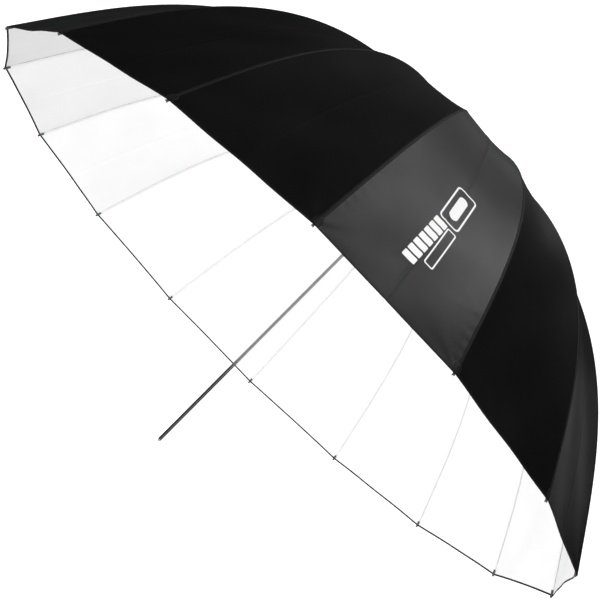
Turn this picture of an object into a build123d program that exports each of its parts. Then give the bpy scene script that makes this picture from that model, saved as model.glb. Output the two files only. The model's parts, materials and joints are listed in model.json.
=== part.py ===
from build123d import *
import os
from math import atan2, cos, degrees, hypot, pi, radians, sin, sqrt, tan

# Umbrella reflector, open. The shaft runs along Y: handle end at -Y, crown at +Y, opening facing -Y.
# Origin: on the shaft axis, at the middle of the length that a holder grips. Millimetres.

# ---- driving dimensions ----
RIB_COUNT = 16
STEP_DEG = 360 / RIB_COUNT
FIRST_RIB_DEG = STEP_DEG / 2  # two ribs stand either side of straight up
RIM_R = 825.0  # open radius at the rib tips, 1650 mm across
RIM_Y = 267.0  # plane of the rib tips
SHAFT_R = 4.0
SHAFT_BORE_R = 3.3
SHAFT_END_Y = -75.0
# slope of a rib, in degrees from square to the shaft, at each tenth of its length from the crown
RIB_SLOPES = [6.83, 9.25, 14.20, 20.97, 28.87, 37.20, 45.25, 52.34, 57.76, 60.6, 61.2]

ROD_R = 1.75  # rib rod
STRETCHER_ROD_R = 1.5
HINGE_R = 14.0  # radius of the hinge circles in the notch and in the runner
SLOT_W = 2.4  # slots of the notch and the runner
SLOT_FLOOR_R = 10.5
TAB_T = 1.6  # thickness of the flat eyes that sit in the slots
FLANGE_R = 17.5
WIRE_R = 0.6

BRACKET_AT = 0.35  # share of the rib's length
FLEX_AT = 0.50
BRACKET_DROP = 9.0  # from the rod's axis to the stretcher pivot
STRETCHER_SLOPE = 25.0  # degrees, open
CROWN_TURN = 65.4  # degrees each rib turns at the crown, open to folded
FLEX_TURN = 28.0  # degrees each rib straightens, open to folded

CLOTH_IN = 3.1  # cloth's inner face, from the rods' axis
CLOTH_T = 0.5
CLOTH_HOLE_R = 6.5


# ---- the rib's curve: ten tangent arcs, scaled so that its end is at RIM_R ----
def chain(length):
    nodes = [(0.0, 0.0)]
    for a, b in zip(RIB_SLOPES, RIB_SLOPES[1:]):
        nodes.append(step(nodes[-1], a, b, length / 10))
    return nodes


def step(start, slope_a, slope_b, length):
    turn, middle = radians(slope_b - slope_a), radians((slope_a + slope_b) / 2)
    chord = length * (sin(turn / 2) / (turn / 2) if abs(turn) > 1e-9 else 1.0)
    return (start[0] + chord * cos(middle), start[1] - chord * sin(middle))


RIB_L = RIM_R / chain(1.0)[-1][0]
NODES = chain(RIB_L)
CROWN_Y = RIM_Y - NODES[-1][1]
NODES = [(u, v + CROWN_Y) for u, v in NODES]


def at(s):
    """Radius, height and slope in degrees at the length s along a rib, in millimetres."""
    i = min(int(s / RIB_L * 10), 9)
    share = s / RIB_L * 10 - i
    a = RIB_SLOPES[i]
    slope = a + (RIB_SLOPES[i + 1] - a) * share
    u, v = step(NODES[i], a, slope, share * RIB_L / 10)
    return u, v, slope


def off(s, out):
    """The point at length s, moved outwards square to the rib."""
    u, v, slope = at(s)
    return (u + out * sin(radians(slope)), v + out * cos(radians(slope)))


def cuts(s_from, s_to):
    inner = [RIB_L * i / 10 for i in range(1, 10) if s_from + 2 < RIB_L * i / 10 < s_to - 2]
    return [s_from, *inner, s_to]


def direction(slope):
    return (cos(radians(slope)), -sin(radians(slope)))


S_HINGE = 0.0
while at(S_HINGE)[0] < HINGE_R:
    S_HINGE += 0.001
HINGE_Y = at(S_HINGE)[1]
S_BRACKET, S_FLEX = BRACKET_AT * RIB_L, FLEX_AT * RIB_L
PIVOT = off(S_BRACKET, -BRACKET_DROP)  # stretcher pivot on the rib, open
RUNNER_Y = PIVOT[1] - (PIVOT[0] - HINGE_R) * tan(radians(STRETCHER_SLOPE))
STRETCHER_L = (PIVOT[0] - HINGE_R) / cos(radians(STRETCHER_SLOPE))
FLEX_PIVOT = off(S_FLEX, ROD_R + 0.2)


def turned(point, centre, angle):
    x, y = point[0] - centre[0], point[1] - centre[1]
    c, s = cos(radians(angle)), sin(radians(angle))
    return (centre[0] + c * x - s * y, centre[1] + s * x + c * y)


PIVOT_FOLDED = turned(PIVOT, (HINGE_R, HINGE_Y), -CROWN_TURN)
RUNNER_Y_FOLDED = PIVOT_FOLDED[1] - sqrt(STRETCHER_L**2 - (PIVOT_FOLDED[0] - HINGE_R) ** 2)
TRAVEL = RUNNER_Y - RUNNER_Y_FOLDED
STRETCHER_SLOPE_FOLDED = degrees(atan2(PIVOT_FOLDED[1] - RUNNER_Y_FOLDED, PIVOT_FOLDED[0] - HINGE_R))
STRETCHER_TURN = STRETCHER_SLOPE_FOLDED - STRETCHER_SLOPE + CROWN_TURN
print("rib length", RIB_L, "crown y", CROWN_Y, "hinge y", HINGE_Y, "runner y", RUNNER_Y, "folded", RUNNER_Y_FOLDED)
print("stretcher length", STRETCHER_L, "travel", TRAVEL, "stretcher turn", STRETCHER_TURN)
print("pivot", PIVOT, "flex pivot", FLEX_PIVOT)

os.makedirs("parts", exist_ok=True)


def save_around(pieces, name):
    """Writes the pieces, drawn in the XY plane, once for each rib, as separate solids of one node."""
    for index in range(RIB_COUNT):
        turn = Rotation(0, -(FIRST_RIB_DEG + STEP_DEG * index), 0)
        node = Compound([solid for piece in pieces for solid in (turn * piece).solids()])
        node.label = "%s_%02d" % (name, index + 1)
        export_step(node, "parts/" + node.label + ".step")


# ---- master rib, drawn in the XY plane: X is the radius, Y the shaft ----
ROD_START = S_HINGE + 9.0
FLEX_GAP = 0.4

with BuildPart() as rod_inner:
    with BuildLine() as rod_inner_path:
        stations = cuts(ROD_START, S_FLEX - FLEX_GAP / 2)
        for a, b in zip(stations, stations[1:]):
            ThreePointArc(at(a)[:2], at((a + b) / 2)[:2], at(b)[:2])
    with BuildSketch(Plane(origin=rod_inner_path.line @ 0, z_dir=rod_inner_path.line % 0)):
        Circle(ROD_R)
    sweep()

with BuildPart() as rod_outer:
    with BuildLine() as rod_outer_path:
        stations = cuts(S_FLEX + FLEX_GAP / 2, RIB_L - 1.0)
        for a, b in zip(stations, stations[1:]):
            ThreePointArc(at(a)[:2], at((a + b) / 2)[:2], at(b)[:2])
    with BuildSketch(Plane(origin=rod_outer_path.line @ 0, z_dir=rod_outer_path.line % 0)):
        Circle(ROD_R)
    sweep()

# root fitting: a flat eye on the crown wire, then a crimped sleeve over the rod's end
root_u, root_v, root_slope = at(S_HINGE)
sleeve_u, sleeve_v, sleeve_slope = at(S_HINGE + 7.0)
with BuildPart() as root_fitting:
    with BuildSketch(Plane.XY.offset(-TAB_T / 2)):
        with Locations((root_u, root_v)):
            Circle(2.1)
        with Locations(Location((root_u, root_v, 0), (0, 0, -root_slope))):
            Rectangle(9.0, 3.4, align=(Align.MIN, Align.CENTER))
        with Locations((root_u, root_v)):
            Circle(WIRE_R + 0.12, mode=Mode.SUBTRACT)
    extrude(amount=TAB_T)
    with BuildSketch(Plane(origin=(sleeve_u, sleeve_v, 0), z_dir=(*direction(sleeve_slope), 0))):
        Circle(2.4)
    extrude(amount=15.0)
    chamfer(root_fitting.edges().filter_by(GeomType.CIRCLE).sort_by(Axis.X)[-1], 0.4)
    add(rod_inner.part, mode=Mode.SUBTRACT)

# bracket: clipped on the rod, with the tab that carries the stretcher's rivet
bracket_u, bracket_v, bracket_slope = at(S_BRACKET)
along = direction(bracket_slope)
with BuildPart() as bracket:
    with BuildSketch(Plane(origin=(bracket_u - 9 * along[0], bracket_v - 9 * along[1], 0), z_dir=(*along, 0))):
        Circle(2.6)
    extrude(amount=18.0)
    chamfer(bracket.edges().filter_by(GeomType.CIRCLE), 0.4)
    with BuildSketch(Plane.XY.offset(-1.0)):
        with Locations(PIVOT):
            Circle(3.0)
        with Locations(Location((*PIVOT, 0), (0, 0, -bracket_slope))):
            Rectangle(6.0, BRACKET_DROP, align=(Align.CENTER, Align.MIN))
        with Locations(Location((bracket_u, bracket_v, 0), (0, 0, -bracket_slope))):
            with Locations((0, -1.6)):
                Trapezoid(13.0, 2.6, 60, align=(Align.CENTER, Align.CENTER), rotation=180)
        with Locations(PIVOT):
            Circle(1.08, mode=Mode.SUBTRACT)
    extrude(amount=2.0)
    add(rod_inner.part, mode=Mode.SUBTRACT)

# tip cap: closed plastic sleeve on the rod's outer end, with a collar that the cloth's corner is tied behind
tip_u, tip_v, tip_slope = at(RIB_L - 13.0)
with BuildPart() as tip_cap:
    with BuildSketch(Plane(origin=(tip_u, tip_v, 0), z_dir=(*direction(tip_slope), 0))):
        Circle(2.3)
    extrude(amount=17.0)
    with BuildSketch(Plane(origin=(tip_u + 13.6 * direction(tip_slope)[0], tip_v + 13.6 * direction(tip_slope)[1], 0), z_dir=(*direction(tip_slope), 0))):
        Circle(2.7)
    extrude(amount=1.6)
    fillet(tip_cap.faces().sort_by(Axis.Y)[0].edges().filter_by(GeomType.CIRCLE), 1.3)
    add(rod_outer.part, mode=Mode.SUBTRACT)

save_around([rod_inner.part, root_fitting.part, bracket.part], "rib_inner")
save_around([rod_outer.part, tip_cap.part], "rib_outer")

# ---- master stretcher, in the same plane: from the runner's hinge circle to the pivot on the rib ----
slope = radians(STRETCHER_SLOPE)
reach = (cos(slope), sin(slope))
foot = (HINGE_R, RUNNER_Y)


def on_stretcher(s, across=0.0):
    return (foot[0] + s * reach[0] - across * reach[1], foot[1] + s * reach[1] + across * reach[0])


def along_stretcher(s):
    return Plane(origin=(*on_stretcher(s), 0), z_dir=(*reach, 0))


ROD_FROM, ROD_TO = 25.0, STRETCHER_L - 13.0
with BuildPart() as stretcher_rod:
    with BuildSketch(along_stretcher(ROD_FROM)):
        Circle(STRETCHER_ROD_R)
    extrude(amount=ROD_TO - ROD_FROM)

# blade: flat eye that snaps into the runner's slot, ending in a sleeve on the rod
with BuildPart() as stretcher_blade:
    with BuildSketch(Plane.XY.offset(-TAB_T / 2)):
        with Locations(foot):
            Circle(2.1)
        with Locations(Location((*foot, 0), (0, 0, STRETCHER_SLOPE))):
            Rectangle(24.0, 3.6, align=(Align.MIN, Align.CENTER))
        with Locations(foot):
            Circle(1.0, mode=Mode.SUBTRACT)
    extrude(amount=TAB_T)
    with BuildSketch(along_stretcher(23.0)):
        Circle(2.1)
    extrude(amount=12.0)
    chamfer(stretcher_blade.edges().filter_by(GeomType.CIRCLE).sort_by(Axis.X)[-1], 0.3)
    add(stretcher_rod.part, mode=Mode.SUBTRACT)

# fork: two prongs that straddle the bracket's tab
with BuildPart() as stretcher_fork:
    with BuildSketch(Plane.XY.offset(-2.3)):
        with Locations(PIVOT):
            Circle(2.8)
        with Locations(Location((*on_stretcher(STRETCHER_L), 0), (0, 0, STRETCHER_SLOPE))):
            Rectangle(17.0, 4.6, align=(Align.MAX, Align.CENTER))
    extrude(amount=4.6)
    with BuildSketch(Plane.XY.offset(-1.3)):
        with Locations(PIVOT):
            Circle(3.4)
        with Locations(Location((*on_stretcher(STRETCHER_L), 0), (0, 0, STRETCHER_SLOPE))):
            Rectangle(7.0, 6.8, align=(Align.MAX, Align.CENTER))
    extrude(amount=2.6, mode=Mode.SUBTRACT)
    with BuildSketch(along_stretcher(STRETCHER_L - 26.0)):
        Circle(2.1)
    extrude(amount=12.0)
    with BuildSketch(Plane.XY.offset(-2.3)):
        with Locations(PIVOT):
            Circle(1.0)
    extrude(amount=4.6, mode=Mode.SUBTRACT)
    add(stretcher_rod.part, mode=Mode.SUBTRACT)

with BuildPart() as stretcher_rivet:
    with BuildSketch(Plane.XY.offset(-2.3)):
        with Locations(PIVOT):
            Circle(1.0)
    extrude(amount=4.6)
    with BuildSketch(Plane.XY.offset(2.3), Plane.XY.offset(-2.3)):
        with Locations(PIVOT):
            Circle(1.9)
    extrude(stretcher_rivet.pending_faces[0], amount=0.6)
    extrude(stretcher_rivet.pending_faces[-1], amount=-0.6)

save_around([stretcher_rod.part, stretcher_blade.part, stretcher_fork.part, stretcher_rivet.part], "stretcher")

# ---- shaft: a plain metal tube with the catch's window and the crown pin's cross hole ----
SHAFT_TOP_Y = CROWN_Y + 16.0
RUNNER_LOW_Y = RUNNER_Y - 46.0  # lower end of the runner's sleeve, open
CATCH_TOP_Y = RUNNER_LOW_Y - 0.6
CATCH_L = 13.0
CROWN_PIN_Y = HINGE_Y - 10.0
GRIP_END_Y = 65.0  # the holder grips the shaft from its end to here

with BuildPart() as shaft_tube:
    with BuildSketch(Plane.XZ.offset(-SHAFT_END_Y)):
        Circle(SHAFT_R)
        Circle(SHAFT_BORE_R, mode=Mode.SUBTRACT)
    extrude(amount=-(SHAFT_TOP_Y - SHAFT_END_Y))
    # window for the catch, through the upper wall only
    with BuildSketch(Plane.XY.offset(2.0)):
        with Locations((0, CATCH_TOP_Y - CATCH_L / 2)):
            Rectangle(2.2, CATCH_L + 0.8)
    extrude(amount=3.0, mode=Mode.SUBTRACT)
    with BuildSketch(Plane.XY.offset(-6)):
        with Locations((0, CROWN_PIN_Y)):
            Circle(1.0)
    extrude(amount=12.0, mode=Mode.SUBTRACT)
    # rolled ring, the mark for how far the shaft goes into a holder
    with BuildSketch(Plane.XZ.offset(-GRIP_END_Y)):
        Circle(SHAFT_R + 1)
        Circle(SHAFT_R - 0.3, mode=Mode.SUBTRACT)
    extrude(amount=-1.5, mode=Mode.SUBTRACT)
shaft_tube.part.label = "shaft_tube"
export_step(shaft_tube.part, "parts/shaft_tube.step")

# plug in the handle end: a spigot inside the tube and a domed head
with BuildPart() as shaft_end_plug:
    with BuildSketch(Plane.XY):
        with BuildLine():
            Polyline((0, SHAFT_END_Y + 14), (2.9, SHAFT_END_Y + 14), (3.3, SHAFT_END_Y + 12), (3.3, SHAFT_END_Y), (3.7, SHAFT_END_Y), (3.7, SHAFT_END_Y - 4.0), (0, SHAFT_END_Y - 4.0), (0, SHAFT_END_Y + 14))
        make_face()
    revolve(axis=Axis.Y)
    fillet(shaft_end_plug.faces().sort_by(Axis.Y)[0].edges(), 2.5)
shaft_end_plug.part.label = "shaft_end_plug"
export_step(shaft_end_plug.part, "parts/shaft_end_plug.step")

# ---- crown: slotted notch on the shaft, its wire ring and cross pin ----
with BuildPart() as crown_notch:
    with BuildSketch(Plane.XY):
        with BuildLine():
            Polyline(
                (SHAFT_R, HINGE_Y - 18), (7.0, HINGE_Y - 18), (8.0, HINGE_Y - 17), (8.0, HINGE_Y - 6.0), (9.6, HINGE_Y - 4.0),
                (FLANGE_R - 0.8, HINGE_Y - 4.0), (FLANGE_R, HINGE_Y - 3.2), (FLANGE_R, HINGE_Y + 1.6), (FLANGE_R - 0.6, HINGE_Y + 2.2),
                (SHAFT_R, HINGE_Y + 2.2), (SHAFT_R, HINGE_Y - 18),
            )
        make_face()
    revolve(axis=Axis.Y)
    with BuildSketch(Plane.XZ.offset(-HINGE_Y - 5)):
        with PolarLocations(0, RIB_COUNT, start_angle=FIRST_RIB_DEG):
            with Locations((SLOT_FLOOR_R, 0)):
                Rectangle(10.0, SLOT_W, align=(Align.MIN, Align.CENTER))
    extrude(amount=12.0, mode=Mode.SUBTRACT)
    with BuildSketch(Plane.XY):
        with Locations((HINGE_R, HINGE_Y)):
            Circle(WIRE_R)
    revolve(axis=Axis.Y, mode=Mode.SUBTRACT)
    with BuildSketch(Plane.XY.offset(-12)):
        with Locations((0, CROWN_PIN_Y)):
            Circle(1.0)
    extrude(amount=24.0, mode=Mode.SUBTRACT)
crown_notch.part.label = "crown_notch"
export_step(crown_notch.part, "parts/crown_notch.step")

with BuildPart() as crown_wire:
    with BuildSketch(Plane.XY):
        with Locations((HINGE_R, HINGE_Y)):
            Circle(WIRE_R)
    revolve(axis=Axis.Y)
crown_wire.part.label = "crown_wire"
export_step(crown_wire.part, "parts/crown_wire.step")

with BuildPart() as crown_pin:
    with BuildSketch(Plane.XY.offset(-8.4)):
        with Locations((0, CROWN_PIN_Y)):
            Circle(1.0)
    extrude(amount=16.8)
    chamfer(crown_pin.edges().filter_by(GeomType.CIRCLE), 0.2)
crown_pin.part.label = "crown_pin"
export_step(crown_pin.part, "parts/crown_pin.step")

# ---- outside of the crown: washer that clamps the cloth, and the ferrule over the shaft's end ----
WASHER_Y = CROWN_Y + CLOTH_IN + CLOTH_T + 0.2
with BuildPart() as crown_washer:
    with BuildSketch(Plane.XY):
        with BuildLine():
            Polyline(
                (SHAFT_R, WASHER_Y), (8.0, WASHER_Y), (23.0, WASHER_Y - 1.6), (24.0, WASHER_Y - 1.2), (23.6, WASHER_Y - 0.5),
                (8.0, WASHER_Y + 1.4), (SHAFT_R, WASHER_Y + 1.4), (SHAFT_R, WASHER_Y),
            )
        make_face()
    revolve(axis=Axis.Y)
crown_washer.part.label = "crown_washer"
export_step(crown_washer.part, "parts/crown_washer.step")

FERRULE_Y = WASHER_Y + 1.4
with BuildPart() as ferrule:
    with BuildSketch(Plane.XY):
        with BuildLine():
            Polyline(
                (SHAFT_R, FERRULE_Y), (11.0, FERRULE_Y), (11.6, FERRULE_Y + 1.0), (11.0, FERRULE_Y + 2.6), (7.6, FERRULE_Y + 5.0),
                (6.6, FERRULE_Y + 25.0), (0, FERRULE_Y + 25.0), (0, SHAFT_TOP_Y), (SHAFT_R, SHAFT_TOP_Y), (SHAFT_R, FERRULE_Y),
            )
        make_face()
    revolve(axis=Axis.Y)
    fillet(ferrule.faces().sort_by(Axis.Y)[-1].edges(), 4.5)
ferrule.part.label = "ferrule"
export_step(ferrule.part, "parts/ferrule.step")

# ---- runner: slotted flange and sleeve that slide on the shaft, its grip ring, the stop ring and the catch ----
RUNNER_TOP_Y = RUNNER_Y + 10.0
with BuildPart() as runner_body:
    with BuildSketch(Plane.XY):
        with BuildLine():
            Polyline(
                (SHAFT_R + 0.05, RUNNER_LOW_Y), (7.4, RUNNER_LOW_Y), (8.0, RUNNER_LOW_Y + 0.6), (8.0, RUNNER_Y - 7.0), (9.4, RUNNER_Y - 3.2),
                (FLANGE_R - 0.6, RUNNER_Y - 3.2), (FLANGE_R, RUNNER_Y - 2.6), (FLANGE_R, RUNNER_Y + 3.0), (FLANGE_R - 1.0, RUNNER_Y + 4.0),
                (9.6, RUNNER_Y + 4.0), (8.4, RUNNER_Y + 6.0), (8.0, RUNNER_TOP_Y), (SHAFT_R + 0.05, RUNNER_TOP_Y), (SHAFT_R + 0.05, RUNNER_LOW_Y),
            )
        make_face()
    revolve(axis=Axis.Y)
    with BuildSketch(Plane.XZ.offset(-RUNNER_Y - 6)):
        with PolarLocations(0, RIB_COUNT, start_angle=FIRST_RIB_DEG):
            with Locations((SLOT_FLOOR_R, 0)):
                Rectangle(10.0, SLOT_W, align=(Align.MIN, Align.CENTER))
    extrude(amount=12.0, mode=Mode.SUBTRACT)
    # snap bosses on the slots' walls, which the blades' eyes turn on
    with BuildSketch(Plane.XZ.offset(-RUNNER_Y - 0.7)):
        with PolarLocations(0, RIB_COUNT, start_angle=FIRST_RIB_DEG):
            with Locations((HINGE_R, SLOT_W / 2 - 0.1), (HINGE_R, -SLOT_W / 2 + 0.1)):
                Rectangle(1.4, 0.4)
    extrude(amount=-1.4)
    # groove that clears the catch, from end to end on the upper side
    with BuildSketch(Plane.XZ.offset(-RUNNER_LOW_Y + 1)):
        with Locations((0, 3.5)):
            Rectangle(2.4, 3.0, align=(Align.CENTER, Align.MIN))
    extrude(amount=-(RUNNER_TOP_Y - RUNNER_LOW_Y + 2), mode=Mode.SUBTRACT)
runner_body.part.label = "runner_body"
export_step(runner_body.part, "parts/runner_body.step")

GRIP_LOW_Y, GRIP_HIGH_Y = RUNNER_LOW_Y + 5.0, RUNNER_LOW_Y + 31.0
with BuildPart() as runner_grip:
    with BuildSketch(Plane.XZ.offset(-GRIP_LOW_Y)):
        Circle(10.4)
        with PolarLocations(10.4, 24):
            Circle(0.6)
        Circle(8.0, mode=Mode.SUBTRACT)
    extrude(amount=-(GRIP_HIGH_Y - GRIP_LOW_Y))
runner_grip.part.label = "runner_grip"
export_step(runner_grip.part, "parts/runner_grip.step")

STOP_Y = RUNNER_TOP_Y + 0.5
with BuildPart() as runner_stop:
    with BuildSketch(Plane.XZ.offset(-STOP_Y)):
        Circle(6.4)
        Circle(SHAFT_R, mode=Mode.SUBTRACT)
    extrude(amount=-6.0)
    chamfer(runner_stop.faces().filter_by(GeomType.CYLINDER).sort_by(SortBy.AREA)[-1].edges().filter_by(GeomType.CIRCLE), 0.8)
runner_stop.part.label = "runner_stop"
export_step(runner_stop.part, "parts/runner_stop.step")

# catch: a wedge that stands out of the window under the runner, on a leaf inside the tube
with BuildPart() as catch_button:
    with BuildSketch(Plane.YZ.offset(-0.8)):
        with BuildLine():
            Polyline(
                (CATCH_TOP_Y, 1.2), (CATCH_TOP_Y, 5.6), (CATCH_TOP_Y - 0.4, 6.0), (CATCH_TOP_Y - 3.0, 6.0), (CATCH_TOP_Y - CATCH_L, 3.0),
                (CATCH_TOP_Y - CATCH_L - 16, 2.4), (CATCH_TOP_Y - CATCH_L - 16, 1.2), (CATCH_TOP_Y, 1.2),
            )
        make_face()
    extrude(amount=1.6)
catch_button.part.label = "catch_button"
export_step(catch_button.part, "parts/catch_button.step")

# ---- canopy: sixteen cloth gores, each a cylinder-like sheet between two rib planes ----
HALF = STEP_DEG / 2
SQUEEZE = cos(radians(HALF))  # the mid-line of a gore stands this much nearer the shaft than the ribs


def cloth(s, out):
    u, v = off(s, out)
    return (u * SQUEEZE, v)


S_CLOTH = 0.0
while cloth(S_CLOTH, CLOTH_IN)[0] < CLOTH_HOLE_R:
    S_CLOTH += 0.01
GORE_CUTS = [S_CLOTH, 0.27 * RIB_L, 0.52 * RIB_L, 0.76 * RIB_L, RIB_L]  # each gore is drawn in four lengths that meet face to face
gore_lengths = []
for low, high in zip(GORE_CUTS, GORE_CUTS[1:]):
    stations = cuts(low, high)
    with BuildPart() as gore:
        with BuildSketch(Plane.XY):
            with BuildLine():
                for out in (CLOTH_IN, CLOTH_IN + CLOTH_T):
                    for a, b in zip(stations, stations[1:]):
                        ThreePointArc(cloth(a, out), cloth((a + b) / 2, out), cloth(b, out))
                Line(cloth(low, CLOTH_IN), cloth(low, CLOTH_IN + CLOTH_T))
                Line(cloth(high, CLOTH_IN), cloth(high, CLOTH_IN + CLOTH_T))
            make_face()
        extrude(amount=RIM_R * 0.25, both=True)
        with BuildSketch(Plane.XZ):
            with BuildLine():
                Polyline((0, 0), (RIM_R * 1.1, RIM_R * 1.1 * tan(radians(HALF))), (RIM_R * 1.1, -RIM_R * 1.1 * tan(radians(HALF))), (0, 0))
            make_face()
        extrude(amount=-1000, mode=Mode.INTERSECT)
    gore_lengths.append(gore.part)
canopy = Compound([solid for index in range(RIB_COUNT) for length in gore_lengths for solid in (Rotation(0, -STEP_DEG * index, 0) * length).solids()])
canopy.label = "canopy"
export_step(canopy, "parts/canopy.step")
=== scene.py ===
import json
import math

import bpy
import numpy as np
from mathutils import Matrix, Vector


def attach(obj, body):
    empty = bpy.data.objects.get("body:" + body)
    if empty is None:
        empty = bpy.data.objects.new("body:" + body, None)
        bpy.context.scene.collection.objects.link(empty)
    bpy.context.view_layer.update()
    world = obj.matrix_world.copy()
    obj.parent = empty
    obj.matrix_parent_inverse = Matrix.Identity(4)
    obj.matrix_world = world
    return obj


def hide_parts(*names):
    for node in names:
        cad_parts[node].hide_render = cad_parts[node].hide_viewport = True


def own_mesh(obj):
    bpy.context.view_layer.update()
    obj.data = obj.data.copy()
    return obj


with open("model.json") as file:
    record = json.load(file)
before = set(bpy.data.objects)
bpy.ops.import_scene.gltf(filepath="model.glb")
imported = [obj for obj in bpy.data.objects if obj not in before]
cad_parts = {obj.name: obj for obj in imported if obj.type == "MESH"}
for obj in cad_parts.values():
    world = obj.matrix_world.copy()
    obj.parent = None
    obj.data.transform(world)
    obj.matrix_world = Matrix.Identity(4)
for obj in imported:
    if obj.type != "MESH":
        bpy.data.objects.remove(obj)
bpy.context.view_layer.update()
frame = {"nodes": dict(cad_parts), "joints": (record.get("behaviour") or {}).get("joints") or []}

root_joint = {j["name"]: j for j in frame["joints"]}
TRAVEL = root_joint["runner_slide"]["range_m"][1]

# ------------------------------------------------------------------ the ribs' curve, in metres
RIBS = 16
STEP = 2 * math.pi / RIBS
FIRST = STEP / 2
RIM_R, RIM_Y = 0.825, 0.267
SLOPES = np.radians([6.83, 9.25, 14.20, 20.97, 28.87, 37.20, 45.25, 52.34, 57.76, 60.6, 61.2])


def arc_step(a, b, length):
    turn, middle = b - a, (a + b) / 2
    chord = length * (np.sinc(turn / 2 / math.pi))
    return chord * np.cos(middle), -chord * np.sin(middle)


nodes_u, nodes_v = [0.0], [0.0]
for a, b in zip(SLOPES, SLOPES[1:]):
    du, dv = arc_step(a, b, 0.1)
    nodes_u.append(nodes_u[-1] + du)
    nodes_v.append(nodes_v[-1] + dv)
RIB_L = RIM_R / nodes_u[-1]
nodes_u = np.array(nodes_u) * RIB_L
nodes_v = (np.array(nodes_v) - nodes_v[-1]) * RIB_L + RIM_Y
CROWN_Y = nodes_v[0]


def rib(s, out=0.0):
    """Radius, height along the shaft and slope at the length s along a rib, moved outwards by out."""
    s = np.asarray(s, float)
    x = np.clip(s / RIB_L * 10, 0, None)
    i = np.minimum(x.astype(int), 9)
    share = x - i
    a = SLOPES[i]
    slope = a + (SLOPES[np.minimum(i + 1, 10)] - a) * share
    du, dv = arc_step(a, slope, share * RIB_L / 10)
    return nodes_u[i] + du + out * np.sin(slope), nodes_v[i] + dv + out * np.cos(slope), slope


def phi_of(k):
    return FIRST + STEP * k


def radial(phi):
    phi = np.asarray(phi, float)
    return np.stack([np.cos(phi), 0 * phi, np.sin(phi)], -1)


def tangential(phi):
    return np.array([-math.sin(phi), 0.0, math.cos(phi)])


AXIS_Y = np.array([0.0, 1.0, 0.0])
S_FLEX = RIB_L * 0.5
CLOTH = 0.0036  # outer face of the cloth, from the rods' axis
THICK = 0.0005
S_OPEN = 0.0075  # where the cloth starts at the crown


# ------------------------------------------------------------------ the cloth, one function for the whole canopy
def smooth(x, a, b):
    t = np.clip((x - a) / (b - a), 0, 1)
    return t * t * (3 - 2 * t)


rng = np.random.default_rng(165 * 7)
CREASE_AT = 0.5 + rng.uniform(-0.02, 0.02, RIBS)
CREASE_H = rng.uniform(0.15, 0.55, RIBS) * 1e-3 * np.where(rng.random(RIBS) < 0.5, -1, 1)
CREASE_AT[2], CREASE_H[2] = 0.5, 0.6e-3
SAG = rng.uniform(0.0055, 0.0075, RIBS)
WAVES = [
    [
        (
            rng.uniform(2, 7) * (1 if rng.random() < 0.5 else -1),  # across, turns per metre
            rng.uniform(1.5, 6.0),  # along, turns per metre
            rng.uniform(0, 2 * math.pi),
            rng.uniform(0.2, 0.6) * 1e-3,
        )
        for _ in range(5)
    ]
    for _ in range(RIBS)
]
CORNER = [[(rng.uniform(4, 9), rng.uniform(0, 2 * math.pi), rng.uniform(0.08, 0.26) * 1e-3) for _ in range(3)] for _ in range(2 * RIBS)]
PUCKER = [[(rng.uniform(26, 48), rng.uniform(0, 2 * math.pi), rng.uniform(0.04, 0.13) * 1e-3) for _ in range(4)] for _ in range(2 * RIBS)]
DRAW = [[(rng.uniform(0.2, 0.95), rng.uniform(-1, 1), rng.uniform(0.12, 0.4) * 1e-3) for _ in range(5)] for _ in range(2 * RIBS)]


def chord_at(s):
    u, _, _ = rib(s, CLOTH)
    return 2 * u * math.sin(STEP / 2)


def lift(j, s, p):
    """How far panel j's cloth stands off the straight line between its two ribs: p runs from 0 at rib j to 1 at rib j + 1."""
    q = 4 * p * (1 - p)
    x = s / RIB_L
    width = chord_at(s)
    sag = SAG[j] * (smooth(x, 0.02, 0.55) * (1 - 0.62 * smooth(x, 0.72, 1.0)))
    d = -sag * q
    # a soft fold line from storage, along the middle
    across = (p - CREASE_AT[j]) * width
    d += CREASE_H[j] * np.exp(-((across / 0.0036) ** 2)) * smooth(x, 0.12, 0.3) * (1 - 0.5 * smooth(x, 0.9, 1.0))
    # broad unevenness of the stretched cloth
    for fa, fs, ph, amp in WAVES[j]:
        d += amp * np.sin(2 * math.pi * (fa * (p - 0.5) * width + fs * s) + ph) * q * smooth(x, 0.08, 0.4)
    for side, dist in ((0, p * width), (1, (1 - p) * width)):
        # wrinkles that fan out from the corner tied to the rib's tip
        ds = RIB_L - s
        r = np.hypot(dist, ds) + 1e-9
        angle = np.arctan2(dist, ds)
        fan = sum(amp * np.sin(f * angle + ph) for f, ph, amp in CORNER[2 * j + side])
        d += fan * np.exp(-r / 0.085) * smooth(r, 0.004, 0.03) * smooth(angle, 0.03, 0.25) * (1 - smooth(angle, 1.25, 1.57))
        # small puckers beside the sewn seam
        puck = sum(amp * np.sin(2 * math.pi * f * s + ph) for f, ph, amp in PUCKER[2 * j + side])
        d += puck * np.exp(-dist / 0.012) * smooth(dist, 0.0, 0.006) * smooth(x, 0.1, 0.3)
        # a few slanting pulls that start at the seam
        for at, lean, amp in DRAW[2 * j + side]:
            c = (s - at * RIB_L - lean * dist * 0.8) / (0.006 + 0.05 * dist)
            d += amp * np.exp(-(c**2)) * np.exp(-dist / 0.05) * smooth(dist, 0.0, 0.02)
    return d


def rim_cut(p):
    """The free edge is cut slightly hollow between two corners."""
    return 0.0024 * 4 * p * (1 - p)


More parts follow.
